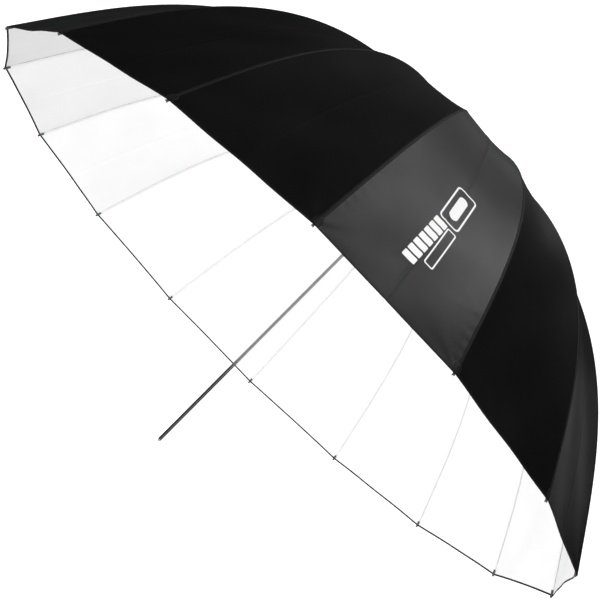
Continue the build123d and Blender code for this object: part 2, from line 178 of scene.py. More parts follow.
def panel_point(j, s, p, out=0.0):
    """A point of panel j on the cloth's outer face, plus out along the panel's own normal."""
    u, v, slope = rib(s, CLOTH)
    a, b = radial(phi_of(j)), radial(phi_of(j + 1))
    middle = radial(phi_of(j) + STEP / 2)
    flat = ((1 - p) * u)[..., None] * a + (p * u)[..., None] * b + v[..., None] * AXIS_Y
    normal = np.sin(slope)[..., None] * middle + np.cos(slope)[..., None] * AXIS_Y
    return flat + (lift(j, s, p) + out)[..., None] * normal


# columns across one gore, from the middle of the panel on one side to the middle of the panel on the other
COLS = np.array([0.0, 0.012, 0.03, 0.055, 0.09, 0.135, 0.19, 0.25, 0.32, 0.39, 0.46, 0.53, 0.60, 0.67, 0.74, 0.80, 0.86, 0.91, 0.94, 0.96, 0.975, 0.988, 1.0])
W = np.concatenate([-COLS[::-1], COLS[1:]])
NC = len(COLS) - 1
S_IN = np.concatenate([np.linspace(S_OPEN, 0.08, 14)[:-1], np.linspace(0.08, S_FLEX, 64)])
S_OUT = np.concatenate([np.linspace(S_FLEX, RIB_L - 0.12, 58)[:-1], np.linspace(RIB_L - 0.12, RIB_L, 27)])
S_ALL = np.concatenate([S_IN, S_OUT[1:]])


def grid_panel(j):
    """Points of the whole panel j at every row and column, and their lengths and shares."""
    p = np.concatenate([COLS / 2, 1 - COLS[::-1][1:] / 2])
    s2, p2 = np.meshgrid(S_ALL, p, indexing="ij")
    x = smooth(s2, RIB_L - 0.15, RIB_L)
    s3 = s2 - x * rim_cut(p2)
    return panel_point(j, s3, p2), s3, p2


panels = [grid_panel(j) for j in range(RIBS)]
cols_per_panel = panels[0][0].shape[1] - 1
ring = np.concatenate([panels[j][0][:, :-1] for j in range(RIBS)], axis=1)  # rows x (columns round)
ring_s = np.concatenate([panels[j][1][:, :-1] for j in range(RIBS)], axis=1)
n_cols = ring.shape[1]
d_s = np.gradient(ring, axis=0)
d_w = np.roll(ring, -1, 1) - np.roll(ring, 1, 1)
ring_n = np.cross(d_w, d_s)
ring_n /= np.linalg.norm(ring_n, axis=2, keepdims=True)
wound_outwards = (ring_n[60, :, 1]).mean() < 0
if wound_outwards:
    ring_n = -ring_n


def gore_columns(k):
    """Indices round the ring of the columns of gore k."""
    start = k * cols_per_panel
    idx = np.arange(start - NC, start + NC + 1)
    return idx % n_cols


# ------------------------------------------------------------------ materials
def material(name):
    m = bpy.data.materials.new(name)
    m.use_nodes = True
    nt = m.node_tree
    b = nt.nodes["Principled BSDF"]
    return m, nt, b


def node(nt, kind, **values):
    n = nt.nodes.new(kind)
    for key, value in values.items():
        if key in ("operation", "blend_type", "data_type", "wave_type", "bands_direction", "wave_profile", "noise_dimensions", "feature", "musgrave_type", "interpolation_type", "voronoi_dimensions", "clamp", "use_clamp"):
            setattr(n, key, value)
    return n


def maths(nt, op, a, b=None, c=None, clamp=False):
    n = nt.nodes.new("ShaderNodeMath")
    n.operation = op
    n.use_clamp = clamp
    for i, x in enumerate((a, b, c)):
        if x is None:
            continue
        if isinstance(x, (int, float)):
            n.inputs[i].default_value = x
        else:
            nt.links.new(x, n.inputs[i])
    return n.outputs[0]


def mix_colour(nt, factor, a, b):
    n = nt.nodes.new("ShaderNodeMix")
    n.data_type = "RGBA"
    for socket, x in ((n.inputs[0], factor), (n.inputs[6], a), (n.inputs[7], b)):
        if isinstance(x, (int, float)):
            socket.default_value = x
        elif isinstance(x, tuple):
            socket.default_value = x
        else:
            nt.links.new(x, socket)
    return n.outputs[2]


def uv_metres(nt):
    n = nt.nodes.new("ShaderNodeUVMap")
    n.uv_map = "metres"
    sep = nt.nodes.new("ShaderNodeSeparateXYZ")
    nt.links.new(n.outputs[0], sep.inputs[0])
    return n.outputs[0], sep.outputs[0], sep.outputs[1]


def object_noise(nt, scale, detail=3.0, rough=0.55):
    co = nt.nodes.new("ShaderNodeTexCoord")
    n = nt.nodes.new("ShaderNodeTexNoise")
    n.inputs["Scale"].default_value = scale
    n.inputs["Detail"].default_value = detail
    n.inputs["Roughness"].default_value = rough
    nt.links.new(co.outputs["Object"], n.inputs["Vector"])
    return n.outputs[0]


def bump(nt, height, strength, distance, normal=None):
    n = nt.nodes.new("ShaderNodeBump")
    n.inputs["Strength"].default_value = strength
    n.inputs["Distance"].default_value = distance
    nt.links.new(height, n.inputs["Height"])
    if normal is not None:
        nt.links.new(normal, n.inputs["Normal"])
    return n.outputs[0]


def weave(nt, x, y, pitch):
    """A plain weave: two crossed sets of threads that take turns on top."""
    a = maths(nt, "SINE", maths(nt, "MULTIPLY", x, 2 * math.pi / pitch))
    b = maths(nt, "SINE", maths(nt, "MULTIPLY", y, 2 * math.pi / pitch))
    ab = maths(nt, "MULTIPLY", a, b)
    return maths(nt, "MULTIPLY_ADD", ab, 0.5, 0.5)


def ramp(nt, value, lo, hi, out_lo, out_hi):
    n = nt.nodes.new("ShaderNodeMapRange")
    n.interpolation_type = "SMOOTHSTEP"
    n.inputs["From Min"].default_value = lo
    n.inputs["From Max"].default_value = hi
    n.inputs["To Min"].default_value = out_lo
    n.inputs["To Max"].default_value = out_hi
    if isinstance(value, (int, float)):
        n.inputs["Value"].default_value = value
    else:
        nt.links.new(value, n.inputs["Value"])
    return n.outputs[0]


def rounded_box(nt, x, y, cx, cy, hx, hy, r, soft):
    """1 inside a rounded rectangle centred on cx, cy, 0 outside."""
    qx = maths(nt, "SUBTRACT", maths(nt, "ABSOLUTE", maths(nt, "SUBTRACT", x, cx)), hx - r)
    qy = maths(nt, "SUBTRACT", maths(nt, "ABSOLUTE", maths(nt, "SUBTRACT", y, cy)), hy - r)
    mx, my = maths(nt, "MAXIMUM", qx, 0.0), maths(nt, "MAXIMUM", qy, 0.0)
    length = maths(nt, "SQRT", maths(nt, "ADD", maths(nt, "MULTIPLY", mx, mx), maths(nt, "MULTIPLY", my, my)))
    return ramp(nt, length, r - soft, r + soft, 1.0, 0.0)


def cloth_black(name, printed=False):
    m, nt, b = material(name)
    uv, x, y = uv_metres(nt)
    # rip-stop nylon taffeta: fine plain weave, slightly uneven dye and calendering
    broad = object_noise(nt, 3.5, 4.0)
    fine = object_noise(nt, 55.0, 3.0)
    base = mix_colour(nt, ramp(nt, broad, 0.3, 0.7, 0.0, 1.0), (0.0018, 0.0018, 0.0019, 1), (0.0028, 0.0028, 0.0030, 1))
    rough = ramp(nt, broad, 0.25, 0.75, 0.40, 0.48)
    threads = weave(nt, x, y, 0.0011)
    height = maths(nt, "ADD", threads, maths(nt, "MULTIPLY", fine, 0.5))
    if printed:
        # plain bars and blocks stand in for the printed mark: a row of solid blocks, an outlined bar, an outlined block
        u = maths(nt, "SUBTRACT", x, 2.0)
        leaning = maths(nt, "SUBTRACT", u, maths(nt, "MULTIPLY", maths(nt, "SUBTRACT", y, 0.9095), 0.06))
        cell = maths(nt, "MULTIPLY", maths(nt, "SUBTRACT", maths(nt, "FRACT", maths(nt, "DIVIDE", maths(nt, "SUBTRACT", y, 0.842), 0.01935)), 0.5), 0.01935)
        blocks = maths(nt, "MULTIPLY",
            rounded_box(nt, leaning, cell, 0.0075, 0.0, 0.0138, 0.0076, 0.0022, 0.0004),
            rounded_box(nt, leaning, y, 0.0075, 0.9095, 0.0145, 0.0677, 0.001, 0.0004))
        thin = maths(nt, "SUBTRACT",
            rounded_box(nt, u, y, -0.0222, 0.899, 0.0105, 0.053, 0.004, 0.0004),
            rounded_box(nt, u, y, -0.0222, 0.899, 0.0078, 0.0503, 0.0022, 0.0004), None, True)
        large = maths(nt, "SUBTRACT",
            rounded_box(nt, u, y, -0.0078, 0.785, 0.0230, 0.053, 0.009, 0.0004),
            rounded_box(nt, u, y, -0.0078, 0.785, 0.0196, 0.0496, 0.0062, 0.0004), None, True)
        inner = rounded_box(nt, u, y, -0.0078, 0.785, 0.0100, 0.0350, 0.0100, 0.0004)
        bar = maths(nt, "MAXIMUM", maths(nt, "MAXIMUM", blocks, thin), maths(nt, "MAXIMUM", large, inner))
        worn = maths(nt, "MULTIPLY", bar, ramp(nt, object_noise(nt, 240.0, 2.0), 0.26, 0.36, 0.86, 1.0))
        base = mix_colour(nt, worn, base, (0.78, 0.78, 0.78, 1))
        rough = maths(nt, "ADD", rough, maths(nt, "MULTIPLY", bar, 0.12))
    nt.links.new(base, b.inputs["Base Color"])
    nt.links.new(rough, b.inputs["Roughness"])
    nt.links.new(bump(nt, height, 0.22, 0.00012), b.inputs["Normal"])
    b.inputs["Specular IOR Level"].default_value = 0.42
    b.inputs["Sheen Weight"].default_value = 0.02
    b.inputs["Sheen Roughness"].default_value = 0.35
    b.inputs["Sheen Tint"].default_value = (0.85, 0.87, 0.9, 1)
    return m


def cloth_white(name):
    m, nt, b = material(name)
    uv, x, y = uv_metres(nt)
    broad = object_noise(nt, 4.0, 3.0)
    base = mix_colour(nt, ramp(nt, broad, 0.3, 0.7, 0.0, 1.0), (0.86, 0.86, 0.865, 1), (0.9, 0.9, 0.9, 1))
    nt.links.new(base, b.inputs["Base Color"])
    nt.links.new(ramp(nt, broad, 0.3, 0.7, 0.62, 0.72), b.inputs["Roughness"])
    nt.links.new(bump(nt, maths(nt, "ADD", weave(nt, x, y, 0.0011), maths(nt, "MULTIPLY", object_noise(nt, 60.0), 0.5)), 0.18, 0.00012), b.inputs["Normal"])
    b.inputs["Specular IOR Level"].default_value = 0.3
    b.inputs["Sheen Weight"].default_value = 0.05
    return m


def tape(name, dark, thread, row, pitch, half):
    """Sewn tape: a twill base with rows of stitches at +-row from its middle, or one row where row is 0. UV x is across, y along."""
    m, nt, b = material(name)
    uv, x, y = uv_metres(nt)
    twill = maths(nt, "SINE", maths(nt, "MULTIPLY", maths(nt, "ADD", x, y), 2 * math.pi / 0.0012))
    off = maths(nt, "ABSOLUTE", maths(nt, "SUBTRACT", maths(nt, "ABSOLUTE", x), row))
    line = ramp(nt, off, 0.00022, 0.00048, 1.0, 0.0)
    phase = maths(nt, "FRACT", maths(nt, "DIVIDE", y, pitch))
    dash = ramp(nt, maths(nt, "ABSOLUTE", maths(nt, "SUBTRACT", phase, 0.5)), 0.36, 0.43, 1.0, 0.0)
    stitch = maths(nt, "MULTIPLY", line, dash)
    groove = ramp(nt, off, 0.0003, 0.0011, 1.0, 0.0)
    noise = object_noise(nt, 40.0)
    base = mix_colour(nt, noise, tuple(0.8 * c for c in dark) + (1,), tuple(1.2 * c for c in dark) + (1,))
    base = mix_colour(nt, stitch, base, thread + (1,))
    nt.links.new(base, b.inputs["Base Color"])
    h = maths(nt, "ADD", maths(nt, "MULTIPLY", twill, 0.12), maths(nt, "SUBTRACT", maths(nt, "MULTIPLY", stitch, 1.2), maths(nt, "MULTIPLY", groove, 0.8)))
    nt.links.new(bump(nt, h, 0.5, 0.0003), b.inputs["Normal"])
    b.inputs["Roughness"].default_value = 0.55
    b.inputs["Specular IOR Level"].default_value = 0.3
    b.inputs["Sheen Weight"].default_value = 0.02
    return m


def plastic(name, colour, rough, grain=900.0, level=0.5):
    m, nt, b = material(name)
    n1, n2 = object_noise(nt, 30.0), object_noise(nt, grain, 2.0)
    base = mix_colour(nt, n1, tuple(0.88 * c for c in colour) + (1,), tuple(1.12 * c for c in colour) + (1,))
    nt.links.new(base, b.inputs["Base Color"])
    nt.links.new(ramp(nt, n1, 0.3, 0.7, rough - 0.05, rough + 0.07), b.inputs["Roughness"])
    nt.links.new(bump(nt, n2, 0.25, 0.0001), b.inputs["Normal"])
    b.inputs["Specular IOR Level"].default_value = level
    return m


def metal(name, colour, rough, spread=0.06, draw=2500.0):
    """Drawn metal: fine lines along Y, a little cloudiness in the polish."""
    m, nt, b = material(name)
    co = nt.nodes.new("ShaderNodeTexCoord")
    mp = nt.nodes.new("ShaderNodeMapping")
    mp.inputs["Scale"].default_value = (draw, 6.0, draw)
    nt.links.new(co.outputs["Object"], mp.inputs["Vector"])
    n = nt.nodes.new("ShaderNodeTexNoise")
    n.inputs["Scale"].default_value = 1.0
    n.inputs["Detail"].default_value = 2.0
    nt.links.new(mp.outputs[0], n.inputs["Vector"])
    cloud = object_noise(nt, 25.0)
    base = mix_colour(nt, cloud, tuple(0.94 * c for c in colour) + (1,), tuple(min(1.0, 1.04 * c) for c in colour) + (1,))
    nt.links.new(base, b.inputs["Base Color"])
    nt.links.new(ramp(nt, cloud, 0.3, 0.75, rough, rough + spread), b.inputs["Roughness"])
    nt.links.new(bump(nt, n.outputs[0], 0.06, 0.00005), b.inputs["Normal"])
    b.inputs["Metallic"].default_value = 1.0
    return m


def rod_material(name, colour, rough, level=0.5, coat=0.0):
    """Pultruded fibreglass: faint streaks of fibre, a smooth resin skin."""
    m, nt, b = material(name)
    co = nt.nodes.new("ShaderNodeTexCoord")
    n = nt.nodes.new("ShaderNodeTexNoise")
    n.inputs["Scale"].default_value = 420.0
    n.inputs["Detail"].default_value = 4.0
    nt.links.new(co.outputs["Object"], n.inputs["Vector"])
    cloud = object_noise(nt, 14.0)
    base = mix_colour(nt, n.outputs[0], tuple(0.9 * c for c in colour) + (1,), tuple(min(1.0, 1.06 * c) for c in colour) + (1,))
    nt.links.new(base, b.inputs["Base Color"])
    nt.links.new(ramp(nt, cloud, 0.3, 0.7, rough, rough + 0.1), b.inputs["Roughness"])
    nt.links.new(bump(nt, n.outputs[0], 0.1, 0.0001), b.inputs["Normal"])
    b.inputs["Specular IOR Level"].default_value = level
    b.inputs["Coat Weight"].default_value = coat
    b.inputs["Coat Roughness"].default_value = 0.2
    return m


M_BLACK = cloth_black("cloth_black")
M_PRINT = cloth_black("cloth_black_printed", printed=True)
M_WHITE = cloth_white("cloth_white")
M_SEAM = tape("seam_black", (0.0040, 0.0040, 0.0043), (0.012, 0.012, 0.0125), 0.0023, 0.0032, 0.004)
M_SEAM_IN = tape("seam_white", (0.76, 0.76, 0.76), (0.80, 0.80, 0.80), 0.0018, 0.0032, 0.004)
M_HEM = tape("hem_black", (0.0032, 0.0032, 0.0034), (0.009, 0.009, 0.0095), 0.0, 0.0034, 0.005)
M_ROD = rod_material("rod_fibreglass", (0.78, 0.78, 0.78), 0.36, coat=0.2)
M_STRETCH = rod_material("rod_black", (0.028, 0.028, 0.030), 0.34)
M_PLASTIC = plastic("plastic_black", (0.018, 0.018, 0.019), 0.42)
M_TIP = plastic("plastic_tip", (0.075, 0.075, 0.077), 0.36)
M_GREY = plastic("plastic_grey", (0.36, 0.36, 0.37), 0.45)
M_CHROME = metal("shaft_chrome", (0.42, 0.42, 0.43), 0.10)
M_STEEL = metal("wire_steel", (0.52, 0.52, 0.53), 0.26)
M_FERRULE = metal("ferrule_nickel", (0.50, 0.50, 0.52), 0.2)


# ------------------------------------------------------------------ mesh helpers
def new_mesh(name, verts, faces, mats, face_mats=None, uvs=None, normals=None, smooth_faces=True):
    me = bpy.data.meshes.new(name)
    me.from_pydata([tuple(v) for v in verts], [], [tuple(f) for f in faces])
    for m in mats:
        me.materials.append(m)
    if face_mats is not None:
        me.polygons.foreach_set("material_index", np.asarray(face_mats, np.int32))
    me.polygons.foreach_set("use_smooth", np.full(len(me.polygons), smooth_faces))
    if uvs is not None:
        layer = me.uv_layers.new(name="metres")
        loops = np.zeros(len(me.loops), np.int32)
        me.loops.foreach_get("vertex_index", loops)
        layer.data.foreach_set("uv", np.asarray(uvs, np.float32)[loops].ravel())
    me.update()
    if normals is not None:
        me.normals_split_custom_set_from_vertices([tuple(n) for n in normals])
    ob = bpy.data.objects.new(name, me)
    bpy.context.scene.collection.objects.link(ob)
    return ob


def keep_of(lo, hi):
    """Returns lo and hi unchanged."""
    return lo, hi


KEEP_IN, KEEP_OUT = 0.34, 0.19


def gore(k, rows, name, body, mats):
    idx = gore_columns(k)
    P, N, S = ring[rows][:, idx], ring_n[rows][:, idx], ring_s[rows][:, idx]
    nr, nc = P.shape[:2]
    # UV x: a metre for each panel, with its middle at the whole number, so that a print sits on one panel only
    mid = NC
    chord = chord_at(S)
    uv_half = (
        np.stack([(k - 1) % RIBS + (0.5 + W / 2)[None, :] * chord, S], -1),
        np.stack([k + (W / 2 - 0.5)[None, :] * chord, S], -1),
    )
    verts = np.concatenate([P.reshape(-1, 3), (P - N * THICK).reshape(-1, 3)])
    normals = np.concatenate([N.reshape(-1, 3), -N.reshape(-1, 3)])
    rr, cc = np.meshgrid(np.arange(nr - 1), np.arange(nc - 1), indexing="ij")
    qr = np.stack([rr, rr + 1, rr + 1, rr], -1).reshape(-1, 4)
    qc = np.stack([cc, cc, cc + 1, cc + 1], -1).reshape(-1, 4)
    left = (qc.min(1) < mid)[:, None, None]
    if not wound_outwards:
        qr, qc = qr[:, ::-1], qc[:, ::-1]
    quad_uv = np.where(left, uv_half[0][qr, qc], uv_half[1][qr, qc])
    quad = qr * nc + qc
    faces = quad.tolist() + (quad[:, ::-1] + nr * nc).tolist()
    fm = [0] * len(quad) + [1] * len(quad)
    loop_uv = np.concatenate([quad_uv.reshape(-1, 2), quad_uv[:, ::-1].reshape(-1, 2)]).tolist()
    edge = []
    for c in range(nc - 1):
        edge.append(((0, c + 1), (0, c), 0 if c < mid else 1))
        edge.append(((nr - 1, c), (nr - 1, c + 1), 0 if c < mid else 1))
    for r in range(nr - 1):
        edge.append(((r, 0), (r + 1, 0), 0))
        edge.append(((r + 1, nc - 1), (r, nc - 1), 1))
    for a, b, half in edge:
        if not wound_outwards:
            a, b = b, a
        ia, ib = a[0] * nc + a[1], b[0] * nc + b[1]
        faces.append([ib, ia, ia + nr * nc, ib + nr * nc])
        fm.append(0)
        loop_uv += [uv_half[half][b], uv_half[half][a], uv_half[half][a], uv_half[half][b]]
    me = bpy.data.meshes.new(name)
    me.from_pydata([tuple(v) for v in verts], [], faces)
    for m in mats:
        me.materials.append(m)
    me.polygons.foreach_set("material_index", np.asarray(fm, np.int32))
    me.polygons.foreach_set("use_smooth", np.full(len(me.polygons), True))
    layer = me.uv_layers.new(name="metres")
    layer.data.foreach_set("uv", np.asarray(loop_uv, np.float32).ravel())
    me.update()
    me.normals_split_custom_set_from_vertices([tuple(n) for n in normals])
    ob = bpy.data.objects.new(name, me)
    bpy.context.scene.collection.objects.link(ob)
    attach(ob, body)
    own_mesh(ob)
    # flat size of the cut gore: its width along its length, and the area between its seams
    s_line = S_ALL[rows]
    widths = chord_at(s_line)
    area = float(np.trapezoid(widths, s_line)) if hasattr(np, "trapezoid") else float(np.trapz(widths, s_line))
    return ob


rows_in = np.arange(0, len(S_IN))
rows_out = np.arange(len(S_IN) - 1, len(S_ALL))
gores = []
for k in range(RIBS):
    tag = "%02d" % (k + 1)
    outer_mat = M_PRINT if k in (2, 3) else M_BLACK
    gi = gore(k, rows_in, "gore_inner_" + tag, "rib_inner_" + tag, [outer_mat, M_WHITE])
    go = gore(k, rows_out, "gore_outer_" + tag, "rib_outer_" + tag, [outer_mat, M_WHITE])
    gores += [gi, go]
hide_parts("canopy")
for g in gores[1:]:
    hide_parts("canopy")


# ------------------------------------------------------------------ trims that lie on the cloth
def cloth_point(k, s, w, out):
    """A point at the length s and w metres to the side of rib k, measured on the cloth, and out from its outer face."""
    s, w = np.asarray(s, float), np.asarray(w, float)
    share = np.abs(w) / np.maximum(chord_at(s), 1e-6)
    right = panel_point(k, s, share, out)
    left = panel_point((k - 1) % RIBS, s, 1 - share, out)
    side = np.where(w > 1e-9, 1.0, np.where(w < -1e-9, 0.0, 0.5))[..., None]
    return right * side + left * (1 - side)


def fix_normals(ob):
    import bmesh

    bm = bmesh.new()
    bm.from_mesh(ob.data)
    bmesh.ops.recalc_face_normals(bm, faces=bm.faces)
    bm.to_mesh(ob.data)
    bm.free()


def strip(k, s_values, ring_w, ring_out, name, body, keep, mat, sharp=False, width_share=None):
    """A closed strip along rib k: its section is the closed loop (ring_w, ring_out), swept along s_values."""
    s_values = np.asarray(s_values, float)
    n, m = len(s_values), len(ring_w)
    scale = np.ones(n) if width_share is None else np.asarray(width_share)
    s2, _ = np.meshgrid(s_values, ring_w, indexing="ij")
    w2 = np.asarray(ring_w)[None, :] * scale[:, None]
    o2 = np.repeat(np.asarray(ring_out)[None, :], n, 0)
    P = cloth_point(k, s2, w2, o2)
    verts = P.reshape(-1, 3)
    uv = np.stack([w2, s2], -1).reshape(-1, 2)
    faces = []
    for r in range(n - 1):
        for c in range(m):
            d = (c + 1) % m
            faces.append((r * m + c, r * m + d, (r + 1) * m + d, (r + 1) * m + c))
    faces.append(tuple(range(m)))
    faces.append(tuple((n - 1) * m + c for c in range(m - 1, -1, -1)))
    ob = new_mesh(name, verts, faces, [mat], uvs=uv, smooth_faces=not sharp)
    fix_normals(ob)
    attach(ob, body)
    if keep is not None:
        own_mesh(ob)
    return ob


# the outer ridge of the felled seam: two folded edges with a stitched line beside each
RIDGE_W = np.array([-3.5, -2.9, -1.6, 0.0, 1.6, 2.9, 3.5, 3.4, 1.6, 0.0, -1.6, -3.4]) * 1e-3
RIDGE_OUT = np.array([0.12, 0.50, 0.62, 0.85, 0.62, 0.50, 0.12, 0.02, 0.02, 0.06, 0.02, 0.02]) * 1e-3
INNER_W = np.array([-3.1, -2.9, 0.0, 2.9, 3.1, 2.9, 0.0, -2.9]) * 1e-3
INNER_OUT = np.array([-0.60, -0.52, -0.53, -0.52, -0.60, -0.80, -0.76, -0.80]) * 1e-3

s_seam_in = np.linspace(0.026, S_FLEX, 44)
s_seam_out = np.linspace(S_FLEX, RIB_L - 0.002, 58)


def ellipse_loops(k, places, name, body, mat):
    """Threads tied round the rod and through the seam: three turns at each place."""
    phi = phi_of(k)
    e_r, e_t = radial(phi), tangential(phi)
    verts, faces = [], []
    n_ring, n_tube, tube_r = 20, 6, 0.00024
    for place in places:
        for turn in range(4):
            s = place + (turn - 1.5) * 0.00062
            u, v, slope = rib(s, 0.0)
            along = math.cos(slope) * e_r - math.sin(slope) * AXIS_Y
            out = math.sin(slope) * e_r + math.cos(slope) * AXIS_Y
            centre = float(u) * e_r + float(v) * AXIS_Y + out * 0.00055
            base = len(verts)
            tilt = 0.10 * math.sin(37.0 * place + 2.1 * turn)
            for i in range(n_ring):
                a = 2 * math.pi * i / n_ring
                d = math.cos(a) * e_t * 0.00203 + math.sin(a) * out * 0.00265 + along * tilt * 0.002 * math.cos(a)
                nrm = (math.cos(a) * e_t * 0.00265 + math.sin(a) * out * 0.00215)
                nrm = nrm / np.linalg.norm(nrm)
                for t in range(n_tube):
                    b = 2 * math.pi * t / n_tube
                    verts.append(centre + d + tube_r * (math.cos(b) * nrm + math.sin(b) * along))
            for i in range(n_ring):
                i2 = (i + 1) % n_ring
                for t in range(n_tube):
                    t2 = (t + 1) % n_tube
                    faces.append((base + i * n_tube + t, base + i2 * n_tube + t, base + i2 * n_tube + t2, base + i * n_tube + t2))
    ob = new_mesh(name, verts, faces, [mat], uvs=[(0, 0)] * len(verts))
    fix_normals(ob)
    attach(ob, body)
    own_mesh(ob)
    return ob


def hem(k, name, body):
    """The cut edge is bound with a folded tape, sewn with one line of stitches."""
    back = np.array([3.4, 3.1, 1.8, 0.3, -0.25, -0.4, -0.25, 0.3, 2.0, 3.5, 3.8, 3.5, 2.0, 0.3, 0.3, 1.8]) * 1e-3
    outs = np.array([0.10, 0.32, 0.38, 0.36, 0.18, -0.25, -0.66, -0.80, -0.82, -0.78, -0.62, -0.52, -0.52, -0.52, 0.02, 0.02]) * 1e-3
    m = len(back)
    share = np.where(W < 0, 1 + W / 2, W / 2)
    cols = len(W)
    P = np.zeros((cols, m, 3))
    for side in (-1, 1):
        pick = (W < 0) if side < 0 else (W > 0)
        j = (k - 1) % RIBS if side < 0 else k
        p2, b2 = np.meshgrid(share[pick], back, indexing="ij")
        o2 = np.repeat(outs[None, :], p2.shape[0], 0)
        s2 = RIB_L - b2
        s3 = s2 - smooth(np.minimum(s2, RIB_L), RIB_L - 0.15, RIB_L) * rim_cut(p2)
        P[pick] = panel_point(j, s3, p2, o2)
    centre = np.where(W == 0)[0][0]
    b2, o2 = back[None, :], outs[None, :]
    zero, one = np.zeros_like(b2), np.ones_like(b2)
    P[centre] = 0.5 * (panel_point(k, RIB_L - b2, zero, o2) + panel_point((k - 1) % RIBS, RIB_L - b2, one, o2))[0]
    width = float(chord_at(RIB_L))
    xs = (W / 2) * width
    verts = P.reshape(-1, 3)
    uv = np.stack(np.broadcast_arrays(back[None, :] - 0.0017, xs[:, None]), -1).reshape(-1, 2)
    faces = []
    for r in range(cols - 1):
        for c in range(m):
            d = (c + 1) % m
            faces.append((r * m + c, r * m + d, (r + 1) * m + d, (r + 1) * m + c))
    faces.append(tuple(range(m)))
    faces.append(tuple((cols - 1) * m + c for c in range(m - 1, -1, -1)))
    ob = new_mesh(name, verts, faces, [M_HEM], uvs=uv)
    fix_normals(ob)
    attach(ob, body)
    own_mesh(ob)
    return ob


CORNER_S = np.linspace(RIB_L - 0.021, RIB_L - 0.0004, 12)
PATCH_S = np.array([0.0078, 0.012, 0.018, 0.024, 0.029, 0.0325, 0.0345, 0.0355])
for k in range(RIBS):
    tag = "%02d" % (k + 1)
    a, b = "rib_inner_" + tag, "rib_outer_" + tag
    strip(k, s_seam_in, RIDGE_W, RIDGE_OUT, "seam_inner_" + tag, a, KEEP_IN, M_SEAM)
    strip(k, s_seam_out, RIDGE_W, RIDGE_OUT, "seam_outer_" + tag, b, KEEP_OUT, M_SEAM)
    strip(k, s_seam_in, INNER_W, INNER_OUT, "allowance_inner_" + tag, a, KEEP_IN, M_SEAM_IN)
    strip(k, s_seam_out[:-3], INNER_W, INNER_OUT, "allowance_outer_" + tag, b, KEEP_OUT, M_SEAM_IN)
    ellipse_loops(k, [RIB_L * x for x in (0.13, 0.24, 0.455)], "ties_inner_" + tag, a, M_SEAM_IN)
    ellipse_loops(k, [RIB_L * x for x in (0.58, 0.68, 0.78, 0.88, 0.955)], "ties_outer_" + tag, b, M_SEAM_IN)
    hem(k, "hem_" + tag, b)
    # doubled corner where the rib's tip is sewn in, outside and inside
    taper = 1 - 0.35 * smooth(CORNER_S, RIB_L - 0.019, RIB_L - 0.021 + 0.0) * 0
    cw = np.array([-9.0, -8.6, -4.5, 0.0, 4.5, 8.6, 9.0, 8.6, 4.5, 0.0, -4.5, -8.6]) * 1e-3
    co = np.array([0.30, 0.52, 0.62, 0.98, 0.62, 0.52, 0.30, 0.06, 0.06, 0.10, 0.06, 0.06]) * 1e-3
    share = np.interp(CORNER_S, [CORNER_S[0], CORNER_S[3], CORNER_S[-1]], [0.62, 0.95, 1.0])
    strip(k, CORNER_S, cw, co, "corner_" + tag, b, KEEP_OUT, M_HEM, width_share=share)
    # doubled cloth round the crown, under the washer
    edge = chord_at(PATCH_S) / 2
    pw = np.array([-1.0, -0.66, -0.33, 0.0, 0.33, 0.66, 1.0, 1.0, 0.66, 0.33, 0.0, -0.33, -0.66, -1.0])
    po = np.array([0.30, 0.30, 0.30, 0.30, 0.30, 0.30, 0.30, 0.04, 0.04, 0.04, 0.04, 0.04, 0.04, 0.04]) * 1e-3
    strip(k, PATCH_S, pw, po, "crown_patch_" + tag, a, 0.6, M_HEM, width_share=edge)

# ------------------------------------------------------------------ finishes of the CAD pieces
nodes = frame["nodes"]


def centres_and_corners(ob):
    me = ob.data
    co = np.zeros(len(me.vertices) * 3)
    me.vertices.foreach_get("co", co)
    return co.reshape(-1, 3)


def paint(ob, mats, index=None):
    me = ob.data
    me.materials.clear()
    for m in mats:
        me.materials.append(m)
    if index is None:
        index = np.zeros(len(me.polygons), np.int32)
    me.polygons.foreach_set("material_index", np.asarray(index, np.int32))
    me.update()


s_line = np.linspace(0, RIB_L + 0.012, 900)
axis_u, axis_v, _ = rib(s_line)


def rib_place(ob, k):
    """Each vertex's length along the rib and its distance from the rod's axis."""
    co = centres_and_corners(ob)
    e_r, e_t = radial(phi_of(k)), tangential(phi_of(k))
    u, t, v = co @ e_r, co @ e_t, co[:, 1]
    d2 = (u[:, None] - axis_u[None, :]) ** 2 + (v[:, None] - axis_v[None, :]) ** 2
    i = d2.argmin(1)
    return s_line[i], np.sqrt(d2.min(1) + t**2), t


def by_polygon(ob, vertex_flag, how=np.any):
    me = ob.data
    flags = np.zeros(len(me.polygons), bool)
    for p in me.polygons:
        flags[p.index] = how(vertex_flag[list(p.vertices)])
    return flags


